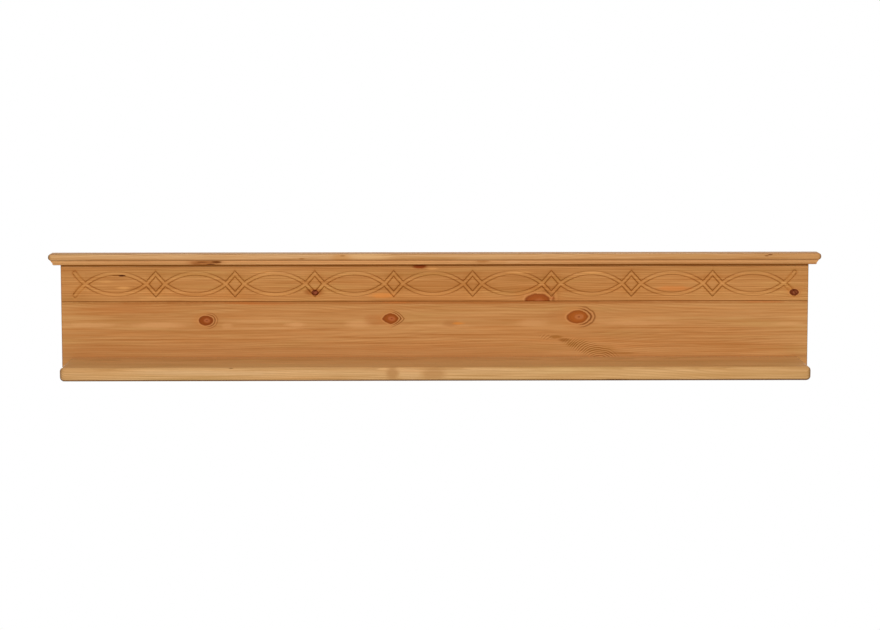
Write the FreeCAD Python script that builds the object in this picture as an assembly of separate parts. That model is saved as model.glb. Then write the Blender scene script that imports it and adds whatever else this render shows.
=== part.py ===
import FreeCAD, Part

import os

os.makedirs("parts", exist_ok=True)

# A pine wall shelf: a moulded cap on a flat back panel, a carved frieze, and a deep ledge.
# Lengths are in millimetres. X runs along the shelf, the wall is the plane Y = 0, the room
# is towards -Y, and Z = 0 is the height of the two holes that hang the shelf on its screws.

# The whole shelf
shelf_width = 1500.0
shelf_height = 230.0
cap_overhang = 22.0
panel_thickness = 18.0
frieze_height = 82.0

# Cap board and the moulding under its edge
cap_board_thickness = 13.0
cap_nose_radius = 4.2
cap_corner_radius = 6.0
moulding_height = 9.0
moulding_setback = 5.0
moulding_slope = 2.6
moulding_arris_radius = 1.5

# Panel: its end arrises and the sunk joint line between its two boards
panel_arris_radius = 2.5
joint_chamfer = 1.6
tongue_thickness = 5.0
tongue_width = 15.0
tongue_fit = 0.1
tongue_end_gap = 0.5

# Ledge
ledge_projection = 157.0
ledge_thickness = 26.0
ledge_end_inset = 16.0
ledge_top_radius = 8.0
ledge_bottom_radius = 4.0
ledge_corner_radius = 9.0

# Carved frieze: two ribbons that cross, with long lenses between small diamonds
carving_lens_count = 9
carving_end_margin = 48.0
carving_centre_up = 34.5
carving_lens_rise = 20.8
carving_diamond_reach = 18.0
carving_diamond_rise = 19.4
carving_ribbon_width = 7.4
carving_line_width = 1.6
carving_depth = 1.2
carving_tail_run = 20.6
carving_tail_rise = 22.0
carving_tail_bow = 1.4

# Dowels
dowel_radius = 4.0
dowel_chamfer = 0.8
dowel_fit = 0.1
dowel_end_gap = 0.8
ledge_dowel_length = 35.0
ledge_dowel_in_panel = 10.0
ledge_dowel_count = 6
cap_dowel_length = 30.0
cap_dowel_in_cap = 8.0
cap_dowel_count = 5

# Screws, sunk heads with a cross recess
screw_fit = 0.1
screw_hole_end_gap = 1.0
screw_tip_share = 2.2
recess_reach_share = 0.5
recess_width_share = 0.2
recess_depth_share = 0.6
ledge_screw_length = 60.0
ledge_screw_radius = 2.3
ledge_screw_head_radius = 4.8
cap_screw_length = 45.0
cap_screw_radius = 1.9
cap_screw_head_radius = 3.8

# Wooden plugs over the cap screws
plug_radius = 5.0
plug_depth = 4.5
plug_fit = 0.05

# Headless pins that hold the moulding up to the cap board
pin_radius = 0.6
pin_length = 17.0
pin_fit = 0.03
front_pin_count = 8

# Keyhole hangers, let into the back of the frieze board
hanger_spacing = 1200.0
hanger_length = 48.0
hanger_width = 16.0
hanger_thickness = 1.5
hanger_fit = 0.15
hanger_hole_radius = 4.5
hanger_hole_below_middle = 5.0
hanger_slot_width = 4.8
hanger_slot_rise = 10.0
hanger_screw_from_end = 6.0
hanger_screw_length = 12.0
hanger_screw_radius = 1.2
hanger_screw_head_radius = 2.6
head_space_width = 12.0
head_space_depth = 6.5
head_space_margin = 1.5

# One overrun serves all cuts
overrun = 5.0

# Places along the boards, as shares of each row's span
ledge_row_share = 0.9
cap_row_share = 0.88
pin_row_share = 0.94

# Levels and planes that follow from the sizes
back_board_height = shelf_height - cap_board_thickness - frieze_height
hanger_middle_up = back_board_height + frieze_height / 2
bottom = hanger_hole_below_middle - hanger_middle_up
top = bottom + shelf_height
cap_underside = top - cap_board_thickness
joint_level = bottom + back_board_height
ledge_top = bottom + ledge_thickness
ledge_middle = bottom + ledge_thickness / 2
panel_front = -panel_thickness
panel_width = shelf_width - 2 * cap_overhang
panel_end = panel_width / 2
ledge_width = panel_width - 2 * ledge_end_inset
ledge_front = panel_front - ledge_projection
hanger_middle = bottom + hanger_middle_up


def vector(x, y, z):
    return FreeCAD.Vector(x, y, z)


ALONG_X = vector(1, 0, 0)
ALONG_Y = vector(0, 1, 0)
ALONG_Z = vector(0, 0, 1)


def block(x_low, x_high, y_low, y_high, z_low, z_high):
    """A box between two corners."""
    return Part.makeBox(x_high - x_low, y_high - y_low, z_high - z_low, vector(x_low, y_low, z_low))


def rod(radius, length, start, direction):
    """A round rod from a point."""
    return Part.makeCylinder(radius, length, start, direction)


def prism(points, direction):
    """A flat outline pushed along a direction."""
    outline = Part.makePolygon(list(points) + [points[0]])
    return Part.Face(outline).extrude(direction)


def edges_that(shape, test):
    """The straight or round edges whose two ends both pass a test."""
    return [e for e in shape.Edges if all(test(v.Point) for v in e.Vertexes)]


def near(a, b):
    """Whether two places are the same to well under any real size."""
    return abs(a - b) < panel_thickness / 10000


def spread(count, span):
    """Evenly spaced places, centred on the middle of the shelf."""
    return [span * (i / (count - 1) - 1 / 2) for i in range(count)]


def between(places):
    """The middles of the gaps in a row of places."""
    return [(a + b) / 2 for a, b in zip(places, places[1:])]


def save(name, solids):
    """Writes one sub-part, which may be a group of separate solids."""
    shape = solids[0] if len(solids) == 1 else Part.makeCompound(solids)
    if not shape.isValid():
        raise ValueError(name + " is not a valid solid")
    shape.exportStep("parts/" + name + ".step")
    box = shape.BoundBox
    print(name, len(shape.Solids), "solids", round(shape.Volume), "mm3",
          [round(v, 2) for v in (box.XMin, box.YMin, box.ZMin, box.XMax, box.YMax, box.ZMax)])


# Places of the fasteners: one screw in each gap of a row of dowels
ledge_dowel_row = spread(ledge_dowel_count, ledge_width * ledge_row_share)
ledge_screw_row = between(ledge_dowel_row)
cap_dowel_row = spread(cap_dowel_count, panel_width * cap_row_share)
cap_screw_row = between(cap_dowel_row)
hanger_places = spread(2, hanger_spacing)
front_pin_row = spread(front_pin_count, panel_width * pin_row_share)


def screw_body(head_point, direction, length, radius, head_radius):
    """A sunk-head screw's outline: a right-angled cone, a shank and a point."""
    head_height = head_radius - radius
    tip = radius * screw_tip_share
    cone = Part.makeCone(head_radius, radius, head_height, head_point, direction)
    shank_start = head_point + direction * head_height
    shank = rod(radius, length - head_height - tip, shank_start, direction)
    point = Part.makeCone(radius, 0, tip, head_point + direction * (length - tip), direction)
    return cone.fuse([shank, point]).removeSplitter()


def screw(head_point, direction, across, length, radius, head_radius):
    """A screw with its cross recess cut into the head."""
    body = screw_body(head_point, direction, length, radius, head_radius)
    reach = head_radius * recess_reach_share
    half = head_radius * recess_width_share / 2
    depth = (head_radius - radius) * recess_depth_share
    other = direction.cross(across)
    for one, two in ((across, other), (other, across)):
        far, wide = one * reach, two * half
        corners = [head_point - far - wide, head_point + far - wide,
                   head_point + far + wide, head_point - far + wide]
        body = body.cut(prism(corners, direction * depth))
    return body


def screw_hole(head_point, direction, length, radius, head_radius):
    """The hole a screw sits in, larger by the fit all round, with room past its point."""
    head_height = head_radius - radius
    cone = Part.makeCone(head_radius + screw_fit, radius + screw_fit, head_height, head_point, direction)
    shaft = rod(radius + screw_fit, length + screw_hole_end_gap, head_point, direction)
    return cone.fuse(shaft)


def dowel(start, direction, length):
    """A round dowel with bevelled ends."""
    body = rod(dowel_radius, length, start, direction)
    rims = [e for e in body.Edges if len(e.Vertexes) == 1]
    return body.makeChamfer(dowel_chamfer, rims)


def dowel_hole(start, direction, length):
    """The hole of a dowel, with its fit and the room past both ends."""
    low = start - direction * dowel_end_gap
    return rod(dowel_radius + dowel_fit, length + 2 * dowel_end_gap, low, direction)


# Every fastener's place, written once, so that the piece and its holes agree
def ledge_dowel_starts():
    return [vector(x, panel_front + ledge_dowel_in_panel, ledge_middle) for x in ledge_dowel_row]


def ledge_screw_heads():
    return [vector(x, 0, ledge_middle) for x in ledge_screw_row]


def cap_dowel_starts():
    return [vector(x, panel_front / 2, cap_underside + cap_dowel_in_cap) for x in cap_dowel_row]


def cap_screw_heads():
    return [vector(x, panel_front / 2, top - plug_depth) for x in cap_screw_row]


def hanger_screw_heads():
    reach = hanger_length / 2 - hanger_screw_from_end
    return [vector(x, 0, hanger_middle + side * reach) for x in hanger_places for side in (-1, 1)]


def pin_starts():
    """The pins' lower ends, level with the moulding's underside, along the front and on both returns."""
    low = cap_underside - moulding_height
    middle = (cap_overhang - moulding_setback - moulding_slope) / 2
    front = [vector(x, panel_front - middle, low) for x in front_pin_row]
    returns = [vector(side * (panel_end + middle), panel_front / 2, low) for side in (-1, 1)]
    return front + returns


def ledge_dowel_holes():
    return [dowel_hole(p, -ALONG_Y, ledge_dowel_length) for p in ledge_dowel_starts()]


def ledge_screw_holes():
    sizes = (ledge_screw_length, ledge_screw_radius, ledge_screw_head_radius)
    return [screw_hole(p, -ALONG_Y, *sizes) for p in ledge_screw_heads()]


def cap_dowel_holes():
    return [dowel_hole(p, -ALONG_Z, cap_dowel_length) for p in cap_dowel_starts()]


def cap_screw_holes():
    sizes = (cap_screw_length, cap_screw_radius, cap_screw_head_radius)
    return [screw_hole(p, -ALONG_Z, *sizes) for p in cap_screw_heads()]


def plug_holes():
    return [rod(plug_radius + plug_fit, plug_depth + overrun, p, ALONG_Z) for p in cap_screw_heads()]


def pin_holes():
    return [rod(pin_radius + pin_fit, pin_length, p, ALONG_Z) for p in pin_starts()]


def upright_edges(board, front):
    """The two upright edges at the front corners of a board."""
    return [e for e in edges_that(board, lambda p: near(p.y, front))
            if not near(e.Vertexes[0].Z, e.Vertexes[-1].Z)]


def round_front_and_ends(board, back, level, radius):
    """Rounds one arris of a board along its front, round its corners and along both ends."""
    loop = [e for e in edges_that(board, lambda p: near(p.z, level))
            if not all(near(v.Y, back) for v in e.Vertexes)]
    return board.makeFillet(radius, loop)


def edged_board(half_width, front, back, low, high, corner, top_radius, bottom_radius):
    """A flat board, square at the back, with rounded front corners and rounded arrises."""
    board = block(-half_width, half_width, front, back, low, high)
    board = board.makeFillet(corner, upright_edges(board, front))
    board = round_front_and_ends(board, back, high, top_radius)
    return round_front_and_ends(board, back, low, bottom_radius)


def cap_board():
    """The top board: a nose rounded above and below, along the front and both ends."""
    board = edged_board(shelf_width / 2, panel_front - cap_overhang, 0, cap_underside, top,
                        cap_corner_radius, cap_nose_radius, cap_nose_radius)
    return board.cut(cap_dowel_holes() + cap_screw_holes() + plug_holes() + pin_holes())


def moulding_section(across):
    """The strip's section, from the panel outwards: upright back, flat top, sloping rounded face."""
    low = cap_underside - moulding_height
    reach = cap_overhang - moulding_setback
    return [across(0, low), across(reach - moulding_slope, low),
            across(reach, cap_underside), across(0, cap_underside)]


def moulding_strip(points, direction):
    """A strip of the moulding with its lower outer arris rounded."""
    strip = prism(points, direction)
    foot = points[1]
    along = vector(*direction).normalize()
    arris = edges_that(strip, lambda p: near((p - foot).cross(along).Length, 0))
    return strip.makeFillet(moulding_arris_radius, arris)


def plan_prism(corners):
    """An upright prism over the moulding's height, for cutting mitres."""
    low = cap_underside - moulding_height - overrun
    points = [vector(x, y, low) for x, y in corners]
    return prism(points, ALONG_Z * (moulding_height + 2 * overrun))


def cap_moulding_front():
    """The strip along the front, mitred at both ends."""
    far = cap_overhang + overrun
    points = moulding_section(lambda out, z: vector(-panel_end - far, panel_front - out, z))
    strip = moulding_strip(points, ALONG_X * (panel_width + 2 * far))
    plan = plan_prism([(-panel_end, panel_front), (panel_end, panel_front),
                       (panel_end + far, panel_front - far), (-panel_end - far, panel_front - far)])
    return strip.common(plan).cut(pin_holes())


def cap_moulding_return(side):
    """The short strip along one end, mitred at the front and square at the wall."""
    far = cap_overhang + overrun
    points = moulding_section(lambda out, z: vector(side * (panel_end + out), panel_front - far, z))
    strip = moulding_strip(points, ALONG_Y * (panel_thickness + far))
    plan = plan_prism([(side * panel_end, 0), (side * panel_end, panel_front),
                       (side * (panel_end + far), panel_front - far), (side * (panel_end + far), 0)])
    return strip.common(plan).cut(pin_holes())


def panel_board(low, high, bevel_level):
    """One board of the panel, with soft end arrises and a bevel at the sunk joint line."""
    board = block(-panel_end, panel_end, panel_front, 0, low, high)
    board = board.makeFillet(panel_arris_radius, upright_edges(board, panel_front))
    inward = 1 if near(bevel_level, low) else -1
    start = -panel_end - overrun
    reach = joint_chamfer + overrun
    bevel = prism([vector(start, panel_front - overrun, bevel_level - inward * overrun),
                   vector(start, panel_front - overrun, bevel_level + inward * reach),
                   vector(start, panel_front + reach, bevel_level - inward * overrun)],
                  ALONG_X * (panel_width + 2 * overrun))
    return board.cut(bevel)


def tongue_groove():
    """The room for the loose tongue, in both boards at once."""
    half = tongue_thickness / 2 + tongue_fit
    reach = tongue_width / 2 + tongue_end_gap
    middle = panel_front / 2
    return block(-panel_end - overrun, panel_end + overrun, middle - half, middle + half,
                 joint_level - reach, joint_level + reach)


def panel_tongue():
    """The loose tongue that joins the frieze board to the back board."""
    middle = panel_front / 2
    return block(-panel_end, panel_end, middle - tongue_thickness / 2, middle + tongue_thickness / 2,
                 joint_level - tongue_width / 2, joint_level + tongue_width / 2)


def stroke(start, end, bow, width):
    """A flat band of one width along a bowed arc, cut square at both ends."""
    half = width / 2
    across = (end - start).normalize().cross(ALONG_Y)
    half_chord = (end - start).Length / 2
    radius = (half_chord * half_chord + bow * bow) / (2 * bow)
    middle = (start + end) / 2 + across * bow
    centre = middle - across * radius
    outer, inner = [[centre + (p - centre) * (1 + side * half / radius) for p in (start, middle, end)]
                    for side in (1, -1)]
    edges = [Part.Arc(*outer).toShape(), Part.LineSegment(outer[-1], inner[-1]).toShape(),
             Part.Arc(*reversed(inner)).toShape(), Part.LineSegment(inner[0], outer[0]).toShape()]
    return Part.Face(Part.Wire(edges))


def dot(centre, width):
    """A round flat face that closes a crossing or rounds a ribbon's end."""
    ring = Part.Circle(centre, ALONG_Y, width / 2).toShape()
    return Part.Face(Part.Wire([ring]))


def rhombus(centre, half_width, half_height):
    """A flat diamond standing on its point."""
    corners = [centre + ALONG_X * half_width, centre + ALONG_Z * half_height,
               centre - ALONG_X * half_width, centre - ALONG_Z * half_height]
    return Part.Face(Part.makePolygon(corners + [corners[0]]))


def diamond(centre, width):
    """A diamond of ribbon: a flat ring with pointed corners, of one width all round."""
    reach, rise = carving_diamond_reach, carving_diamond_rise
    slant = vector(reach, 0, rise).Length
    out = width / 2 * slant / rise
    up = width / 2 * slant / reach
    return rhombus(centre, reach + out, rise + up).cut(rhombus(centre, reach - out, rise - up))


def carving_paths():
    """The arcs of the ribbons as (start, end, bow), the diamonds' centres, and the points that get a dot."""
    level = joint_level + carving_centre_up
    first = -panel_end + carving_end_margin
    reach = carving_diamond_reach
    period = (2 * reach - 2 * first) / carving_lens_count

    def at(x, up):
        return vector(x, panel_front, level + up)

    arcs, diamonds, dots = [], [], []
    for lens in range(carving_lens_count):
        left = at(first + lens * period, 0)
        right = at(first + (lens + 1) * period - 2 * reach, 0)
        arcs += [(left, right, side * carving_lens_rise) for side in (1, -1)]
        diamonds.append(right + ALONG_X * reach)
        dots += [left, right]
    for side in (1, -1):
        for end in (1, -1):
            tip = at(end * (-first + carving_tail_run), side * carving_tail_rise)
            arcs.append((at(-end * first, 0), tip, -end * side * carving_tail_bow))
            dots.append(tip)
    return arcs, diamonds[:-1], dots


def carving_cutter():
    """The fine sunk line round the ribbons: their outline at two widths, one taken from the other."""
    arcs, diamonds, dots = carving_paths()
    outlines = []
    for side in (1, -1):
        width = carving_ribbon_width + side * carving_line_width
        faces = [stroke(*arc, width) for arc in arcs] + [diamond(p, width) for p in diamonds]
        faces += [dot(p, width) for p in dots]
        solids = [f.extrude(ALONG_Y * (carving_depth + overrun)) for f in faces]
        outlines.append(solids[0].fuse(solids[1:]).removeSplitter())
    sunk = outlines[0].cut(outlines[1])
    sunk.translate(-ALONG_Y * overrun)
    return sunk


def head_space(x):
    """The hollow behind a hanger plate, where the wall screw's head goes in and slides up."""
    half = head_space_width / 2
    low = hanger_middle - hanger_hole_below_middle
    high = low + hanger_slot_rise
    reach = hanger_hole_radius + head_space_margin - half
    start = vector(x, -head_space_depth, low - reach)
    room = rod(half, head_space_depth + overrun, start, ALONG_Y)
    room = room.fuse(rod(half, head_space_depth + overrun, vector(x, -head_space_depth, high), ALONG_Y))
    return room.fuse(block(x - half, x + half, -head_space_depth, overrun, low - reach, high))


def plate_outline(x, grow, depth):
    """A plate with round ends, standing upright, its outer face on the wall plane."""
    half = hanger_width / 2
    reach = hanger_length / 2 - half
    centres = [vector(x, -depth, hanger_middle + side * reach) for side in (-1, 1)]
    ends = [rod(half + grow, depth, p, ALONG_Y) for p in centres]
    middle = block(x - half - grow, x + half + grow, -depth, 0, hanger_middle - reach, hanger_middle + reach)
    return middle.fuse(ends).removeSplitter()


def hanger_plate(x):
    """A steel plate with a keyhole and two sunk screw holes."""
    plate = plate_outline(x, 0, hanger_thickness)
    low = hanger_middle - hanger_hole_below_middle
    start = vector(x, -hanger_thickness - overrun, low)
    through = hanger_thickness + 2 * overrun
    half = hanger_slot_width / 2
    keyhole = rod(hanger_hole_radius, through, start, ALONG_Y)
    keyhole = keyhole.fuse(rod(half, through, start + ALONG_Z * hanger_slot_rise, ALONG_Y))
    keyhole = keyhole.fuse(block(x - half, x + half, start.y, overrun, low, low + hanger_slot_rise))
    sizes = (hanger_screw_length, hanger_screw_radius, hanger_screw_head_radius)
    holes = [screw_hole(p, -ALONG_Y, *sizes) for p in hanger_screw_heads() if near(p.x, x)]
    return plate.cut([keyhole] + holes)


def hanger_cuts():
    """The frieze board's recesses for both hangers, their screws and the heads' room."""
    cuts = []
    for x in hanger_places:
        cuts += [plate_outline(x, hanger_fit, hanger_thickness), head_space(x)]
    sizes = (hanger_screw_length, hanger_screw_radius, hanger_screw_head_radius)
    return cuts + [screw_hole(p, -ALONG_Y, *sizes) for p in hanger_screw_heads()]


def frieze_board():
    """The upper board of the panel, carved along its face."""
    board = panel_board(joint_level, cap_underside, joint_level)
    board = board.cut([tongue_groove()] + cap_dowel_holes() + cap_screw_holes() + hanger_cuts())
    return board.cut(carving_cutter())


def back_board():
    """The lower board of the panel, which carries the ledge."""
    board = panel_board(bottom, joint_level, joint_level)
    return board.cut([tongue_groove()] + ledge_dowel_holes() + ledge_screw_holes())


def ledge_board():
    """The deep board that things stand on, butted to the panel's face."""
    board = edged_board(ledge_width / 2, ledge_front, panel_front, bottom, ledge_top,
                        ledge_corner_radius, ledge_top_radius, ledge_bottom_radius)
    return board.cut(ledge_dowel_holes() + ledge_screw_holes())


def main():
    save("cap_board", [cap_board()])
    save("cap_moulding_front", [cap_moulding_front()])
    save("cap_moulding_left", [cap_moulding_return(-1)])
    save("cap_moulding_right", [cap_moulding_return(1)])
    save("frieze_board", [frieze_board()])
    save("back_board", [back_board()])
    save("panel_tongue", [panel_tongue()])
    save("ledge_board", [ledge_board()])
    save("ledge_dowels", [dowel(p, -ALONG_Y, ledge_dowel_length) for p in ledge_dowel_starts()])
    save("cap_dowels", [dowel(p, -ALONG_Z, cap_dowel_length) for p in cap_dowel_starts()])
    sizes = (ledge_screw_length, ledge_screw_radius, ledge_screw_head_radius)
    save("ledge_screws", [screw(p, -ALONG_Y, ALONG_X, *sizes) for p in ledge_screw_heads()])
    sizes = (cap_screw_length, cap_screw_radius, cap_screw_head_radius)
    save("cap_screws", [screw(p, -ALONG_Z, ALONG_X, *sizes) for p in cap_screw_heads()])
    save("cap_screw_plugs", [rod(plug_radius, plug_depth, p, ALONG_Z) for p in cap_screw_heads()])
    save("moulding_pins", [rod(pin_radius, pin_length, p, ALONG_Z) for p in pin_starts()])
    for name, x in zip(("left", "right"), hanger_places):
        save("hanger_plate_" + name, [hanger_plate(x)])
    sizes = (hanger_screw_length, hanger_screw_radius, hanger_screw_head_radius)
    save("hanger_screws", [screw(p, -ALONG_Y, ALONG_X, *sizes) for p in hanger_screw_heads()])


main()
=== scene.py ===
"""A long wall shelf of knotty pine: a moulded cap, a carved frieze, a flat back and a deep rounded ledge.

Lengths are in metres. X runs along the shelf, the wall is the plane Y = 0, the room is towards -Y, and
Z = 0 is the height of the two holes that hang the shelf on its screws.
"""

import logging
import math
from dataclasses import dataclass, field
from enum import Enum

import bmesh
import bpy
import numpy as np
from mathutils import Euler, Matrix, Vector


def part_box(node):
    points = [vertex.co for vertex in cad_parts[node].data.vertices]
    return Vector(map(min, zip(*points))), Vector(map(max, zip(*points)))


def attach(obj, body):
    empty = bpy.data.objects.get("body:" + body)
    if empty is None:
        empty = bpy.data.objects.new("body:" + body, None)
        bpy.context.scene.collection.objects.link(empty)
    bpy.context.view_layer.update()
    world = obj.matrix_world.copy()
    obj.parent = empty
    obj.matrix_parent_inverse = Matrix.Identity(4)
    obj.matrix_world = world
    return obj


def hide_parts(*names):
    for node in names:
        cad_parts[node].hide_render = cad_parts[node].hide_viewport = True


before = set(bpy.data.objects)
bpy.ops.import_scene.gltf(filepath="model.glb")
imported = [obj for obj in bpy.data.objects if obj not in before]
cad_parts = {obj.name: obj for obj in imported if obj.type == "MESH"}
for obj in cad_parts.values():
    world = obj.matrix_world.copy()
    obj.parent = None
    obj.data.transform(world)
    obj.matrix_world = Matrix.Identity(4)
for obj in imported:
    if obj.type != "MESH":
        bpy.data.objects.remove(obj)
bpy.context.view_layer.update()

MM = 0.001
PICTURE_WIDTH = 880
SENSOR_WIDTH = 36.0
ROOT = "root"
CREASE = 38.0
MARKS = ("worn", "carved", "raised")
WHITE = (1.0, 1.0, 1.0, 1.0)
Triple = tuple[float, float, float]
Colour = Triple
log = logging.getLogger("shelf")


def linear(red: float, green: float, blue: float) -> Colour:
    """Turns a colour seen on a screen, each part from 0 to 255, into the light that it stands for.

    Args:
        red: the red part.
        green: the green part.
        blue: the blue part.

    Returns:
        The three parts as linear shares of full light.
    """
    share = np.array([red, green, blue]) / 255
    bent = np.where(share <= 0.04045, share / 12.92, ((share + 0.055) / 1.055) ** 2.4)
    return tuple(float(v) for v in bent)


class Sheen(Enum):
    """How a surface is finished, as (roughness, specular level)."""

    SATIN_LACQUER = (0.52, 0.08)
    BARE_WOOD = (0.75, 0.3)
    ZINC_PLATE = (0.46, 0.5)

    @property
    def rough(self) -> float:
        """The roughness."""
        return self.value[0]

    @property
    def level(self) -> float:
        """The specular level."""
        return self.value[1]


class Wire:
    """One value of a material, which adds, multiplies and bends like a number."""

    def __init__(self, bench: "Bench", socket: bpy.types.NodeSocket) -> None:
        """Holds the socket that gives the value.

        Args:
            bench: the material that the value belongs to.
            socket: the output that gives it.
        """
        self.bench = bench
        self.socket = socket

    def __add__(self, other: "Wire | float") -> "Wire":
        """The sum of two values."""
        return self.bench.math("ADD", self, other)

    def __sub__(self, other: "Wire | float") -> "Wire":
        """This value less another."""
        return self.bench.math("SUBTRACT", self, other)

    def __mul__(self, other: "Wire | float") -> "Wire":
        """The product of two values."""
        return self.bench.math("MULTIPLY", self, other)

    def __truediv__(self, other: "Wire | float") -> "Wire":
        """This value over another."""
        return self.bench.math("DIVIDE", self, other)

    def __abs__(self) -> "Wire":
        """This value without its sign."""
        return self.bench.math("ABSOLUTE", self)

    def fade(self) -> "Wire":
        """A bell: e to the power of minus the square of this value."""
        return self.bench.math("EXPONENT", self * self * -1.0)

    def step(self, low: float, high: float, start: float = 0.0, end: float = 1.0) -> "Wire":
        """A smooth step of this value from one level to another.

        Args:
            low: where the step begins.
            high: where it ends.
            start: the result below it.
            end: the result above it.

        Returns:
            The stepped value.
        """
        settings = {"interpolation_type": "SMOOTHSTEP"}
        ends = {"Value": self, "From Min": low, "From Max": high, "To Min": start, "To Max": end}
        return self.bench.node("ShaderNodeMapRange", ends, **settings)


class Bench:
    """A material in the making: it adds nodes and joins their sockets."""

    def __init__(self, name: str) -> None:
        """Starts a bare material.

        Args:
            name: the material's name.
        """
        self.material = bpy.data.materials.new(name)
        self.material.use_nodes = True
        self.tree = self.material.node_tree
        self.tree.nodes.clear()
        self.place = self.node("ShaderNodeTexCoord", output="Object")

    def node(self, kind: str, inputs: dict | None = None, output: str | int = 0, **settings: object) -> Wire:
        """Adds one node.

        Args:
            kind: the node's type.
            inputs: what each of its sockets gets, by name or number: a value of the material or a constant.
            output: the output to give back, by name or number.
            **settings: the node's own properties.

        Returns:
            The chosen output.
        """
        made = self.tree.nodes.new(kind)
        for key, value in settings.items():
            setattr(made, key, value)
        for key, value in (inputs or {}).items():
            if isinstance(value, Wire):
                self.tree.links.new(value.socket, made.inputs[key])
            else:
                made.inputs[key].default_value = value
        return Wire(self, made.outputs[output])

    def math(self, operation: str, *values: "Wire | float") -> Wire:
        """One sum, product or other function of numbers.

        Args:
            operation: the function's name.
            *values: what it works on.

        Returns:
            Its result.
        """
        return self.node("ShaderNodeMath", dict(enumerate(values)), operation=operation)

    def span(self, operation: str, *values: object, output: str | int = 0) -> Wire:
        """One function of places, such as their difference or length.

        Args:
            operation: the function's name.
            *values: the places it works on.
            output: which output to give back.

        Returns:
            Its result.
        """
        return self.node("ShaderNodeVectorMath", dict(enumerate(values)), output, operation=operation)

    def noise(self, place: Wire, scale: Triple, detail: float = 2.0, seed: float = 0.0) -> Wire:
        """Soft random variation, stretched by a scale of its own along each axis.

        Args:
            place: where it is read.
            scale: how many waves it has in a metre along X, Y and Z.
            detail: how many finer layers it has.
            seed: moves it, so that two boards differ.

        Returns:
            A value about one half.
        """
        stretched = self.span("MULTIPLY", place, scale)
        moved = self.span("ADD", stretched, (seed * 7.3, seed * 3.1, seed * 5.7))
        inputs = {"Vector": moved, "Scale": 1.0, "Detail": detail, "Roughness": 0.55}
        return self.node("ShaderNodeTexNoise", inputs, "Fac")

    def tint(self, share: Wire, under: "Wire | Colour", over: "Wire | Colour") -> Wire:
        """One colour laid over another.

        Args:
            share: how much of the upper colour shows.
            under: the lower colour.
            over: the upper colour.

        Returns:
            The mixed colour.
        """
        made = self.tree.nodes.new("ShaderNodeMix")
        made.data_type = "RGBA"
        for socket, value in ((made.inputs[0], share), (made.inputs[6], under), (made.inputs[7], over)):
            if isinstance(value, Wire):
                self.tree.links.new(value.socket, socket)
            else:
                socket.default_value = (*value, 1.0)
        return Wire(self, made.outputs[2])

    def finish(self, shader: Wire) -> None:
        """Ends the material in its shader."""
        end = self.tree.nodes.new("ShaderNodeOutputMaterial")
        self.tree.links.new(shader.socket, end.inputs["Surface"])

    def surface(self, colour: Wire, rough: Wire, height: Wire, sheen: Sheen, depth: float,
                metal: float = 0.0) -> None:
        """Ends the material in one solid surface.

        Args:
            colour: its colour.
            rough: how rough it is.
            height: its relief, from 0 to 1.
            sheen: its finish.
            depth: how deep the relief is.
            metal: 1 for metal, and 0 for anything else.
        """
        bump = self.node("ShaderNodeBump", {"Height": height, "Strength": 0.6, "Distance": depth}, "Normal")
        inputs = {"Base Color": colour, "Roughness": rough, "Normal": bump,
                  "Specular IOR Level": sheen.level, "Metallic": metal}
        self.finish(self.node("ShaderNodeBsdfPrincipled", inputs))


@dataclass(frozen=True)
class Knot:
    """A knot in a board's face: its centre, its half sizes, its colours and its outline.

    The grain wraps round it on its right in a few fine dark arcs, as strongly as wrap says. A point above
    zero makes the oval an almond, and one below zero makes it squarer.
    """

    x: float
    z: float
    reach: float
    rise: float
    body: Colour
    heart: Colour
    wrap: float = 1.0
    point: float = 0.0


@dataclass(frozen=True)
class Stain:
    """A patch or a long streak of another colour: its centre, half sizes, colour, strength and softness."""

    x: float
    z: float
    reach: float
    rise: float
    colour: Colour
    strength: float
    soft: float = 1.0


@dataclass(frozen=True)
class Ripple:
    """A patch of curly grain: arcs about a focus, one pitch apart, inside a leaning oval."""

    x: float
    z: float
    reach: float
    rise: float
    lean: float
    focus_x: float
    focus_z: float
    pitch: float
    strength: float


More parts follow.
